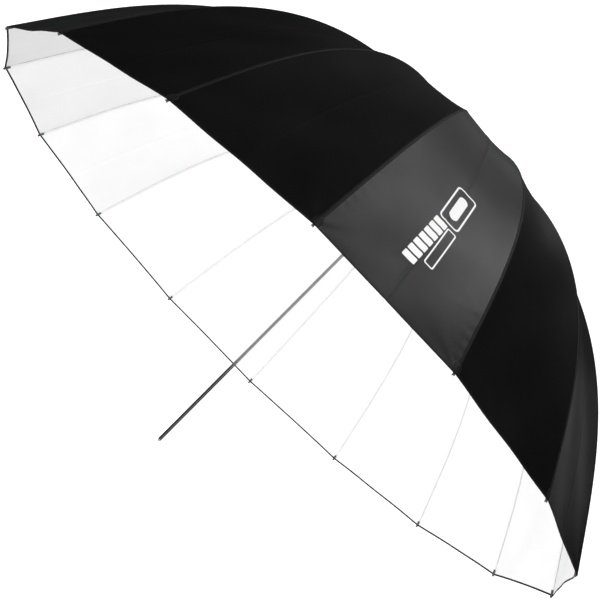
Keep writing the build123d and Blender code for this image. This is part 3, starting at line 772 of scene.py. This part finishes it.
for k in range(RIBS):
    tag = "%02d" % (k + 1)
    ob = nodes["rib_inner_" + tag]
    s, d, t = rib_place(ob, k)
    fitting = by_polygon(ob, d > 0.00187) | by_polygon(ob, s < 0.0088, np.all)
    root_end = by_polygon(ob, s < 0.03, np.all) & fitting
    paint(ob, [M_ROD, M_PLASTIC, M_STEEL], np.where(root_end, 2, np.where(fitting, 1, 0)))
    ob = nodes["rib_outer_" + tag]
    s, d, t = rib_place(ob, k)
    fitting = by_polygon(ob, d > 0.00187)
    paint(ob, [M_ROD, M_TIP], np.where(fitting, 1, 0))
    ob = nodes["stretcher_" + tag]
    co = centres_and_corners(ob)
    e_r, e_t = radial(phi_of(k)), tangential(phi_of(k))
    t = np.abs(co @ e_t)
    box_low, box_high = co.min(0), co.max(0)
    foot_r = co @ e_r
    near, far = foot_r < 0.0140 + 0.033, foot_r > foot_r.max() - 0.027
    rivet = by_polygon(ob, t > 0.00235)
    fitting = by_polygon(ob, near, np.all) | by_polygon(ob, far, np.all)
    paint(ob, [M_STRETCH, M_STEEL], np.where(rivet | fitting, 1, 0))

paint(nodes["shaft_tube"], [M_CHROME])
paint(nodes["shaft_end_plug"], [M_GREY])
paint(nodes["crown_notch"], [M_PLASTIC])
paint(nodes["crown_wire"], [M_STEEL])
paint(nodes["crown_pin"], [M_STEEL])
paint(nodes["crown_washer"], [M_TIP])
paint(nodes["ferrule"], [M_FERRULE])
paint(nodes["runner_body"], [M_PLASTIC])
paint(nodes["runner_grip"], [plastic("rubber_black", (0.013, 0.013, 0.0135), 0.62, 1500.0, 0.35)])
paint(nodes["runner_stop"], [M_STEEL])
paint(nodes["catch_button"], [M_STEEL])

# ------------------------------------------------------------------ camera, floor, light
camera_data = bpy.data.cameras.new("camera")
camera = bpy.data.objects.new("camera", camera_data)
bpy.context.scene.collection.objects.link(camera)
right, up, forward = Vector((0.72416, 0.68821, -0.04427)), Vector((-0.63707, 0.69217, 0.33917)), Vector((-0.26406, 0.21741, -0.93968))
camera.matrix_world = Matrix((
    (right.x, up.x, -forward.x, 0.73841),
    (right.y, up.y, -forward.y, -0.25301),
    (right.z, up.z, -forward.z, 2.61672),
    (0, 0, 0, 1),
))
camera_data.lens, camera_data.sensor_width = 76.607, 36.0
camera_data.clip_start, camera_data.clip_end = 0.05, 500.0
bpy.context.scene.camera = camera

floor_material, nt, b = material("floor_pale")
b.inputs["Base Color"].default_value = (0.86, 0.86, 0.86, 1)
b.inputs["Roughness"].default_value = 0.9
b.inputs["Specular IOR Level"].default_value = 0.1
b.inputs["Emission Color"].default_value = (1, 1, 1, 1)
b.inputs["Emission Strength"].default_value = 0.4
FLOOR_Z = -1.55
floor = new_mesh("floor", [(-150, -150, FLOOR_Z), (150, -150, FLOOR_Z), (150, 150, FLOOR_Z), (-150, 150, FLOOR_Z)], [(0, 1, 2, 3)], [floor_material])
floor.visible_glossy = False
floor.visible_diffuse = False

world = bpy.data.worlds.new("studio")
bpy.context.scene.world = world
world.use_nodes = True
background = world.node_tree.nodes["Background"]
background.inputs["Color"].default_value = (1, 1, 1, 1)
# the studio is lit from above: a pale ceiling, a darker lower half
direction = world.node_tree.nodes.new("ShaderNodeTexCoord")
parts = world.node_tree.nodes.new("ShaderNodeSeparateXYZ")
world.node_tree.links.new(direction.outputs["Generated"], parts.inputs[0])
world.node_tree.links.new(ramp(world.node_tree, parts.outputs[2], -0.40, 0.0, 0.44, 1.08), background.inputs["Strength"])
world.cycles_visibility.glossy = False


def softbox(name, place, target, size, power, glossy=True, colour=(1, 1, 1)):
    data = bpy.data.lights.new(name, "AREA")
    data.shape = "RECTANGLE"
    data.size, data.size_y = size
    data.energy = power
    data.color = colour
    ob = bpy.data.objects.new(name, data)
    bpy.context.scene.collection.objects.link(ob)
    place, target = Vector(place), Vector(target)
    ob.location = place
    ob.rotation_mode = "QUATERNION"
    ob.rotation_quaternion = (target - place).to_track_quat("-Z", "Y")
    ob.visible_glossy = glossy
    ob.visible_camera = False
    return ob


softbox("key", (0.2, -2.7, 3.7), (0.0, 0.45, 0.0), (2.4, 2.4), 96.0, glossy=False)
softbox("rim", (0.80, 4.6, 0.75), (0.27, 0.42, 0.66), (1.1, 1.3), 32.0)
softbox("rim_low", (0.05, 2.75, -1.1), (0.2, 0.7, 0.5), (0.8, 0.8), 1.25)
softbox("rim_right", (1.7, 1.9, -1.0), (0.5, 0.3, 0.55), (1.2, 1.2), 0.1)
softbox("rim_below", (1.05, 1.2, -1.48), (0.72, 0.4, 0.1), (0.6, 0.6), 0.55)
softbox("side", (-3.4, -1.6, 2.2), (0.0, 0.2, 0.0), (0.5, 2.6), 16.0)
# high boxes that show only as soft reflections on the black cloth seen from behind
for name, place, power in (("high_right", (3.2, 0.6, 3.6), 12.0), ("high_left", (-3.2, 1.2, 3.8), 3.5)):
    softbox(name, place, (0.0, 0.4, 0.0), (2.0, 2.0), power).visible_diffuse = False

bpy.context.scene.view_settings.view_transform = "Standard"
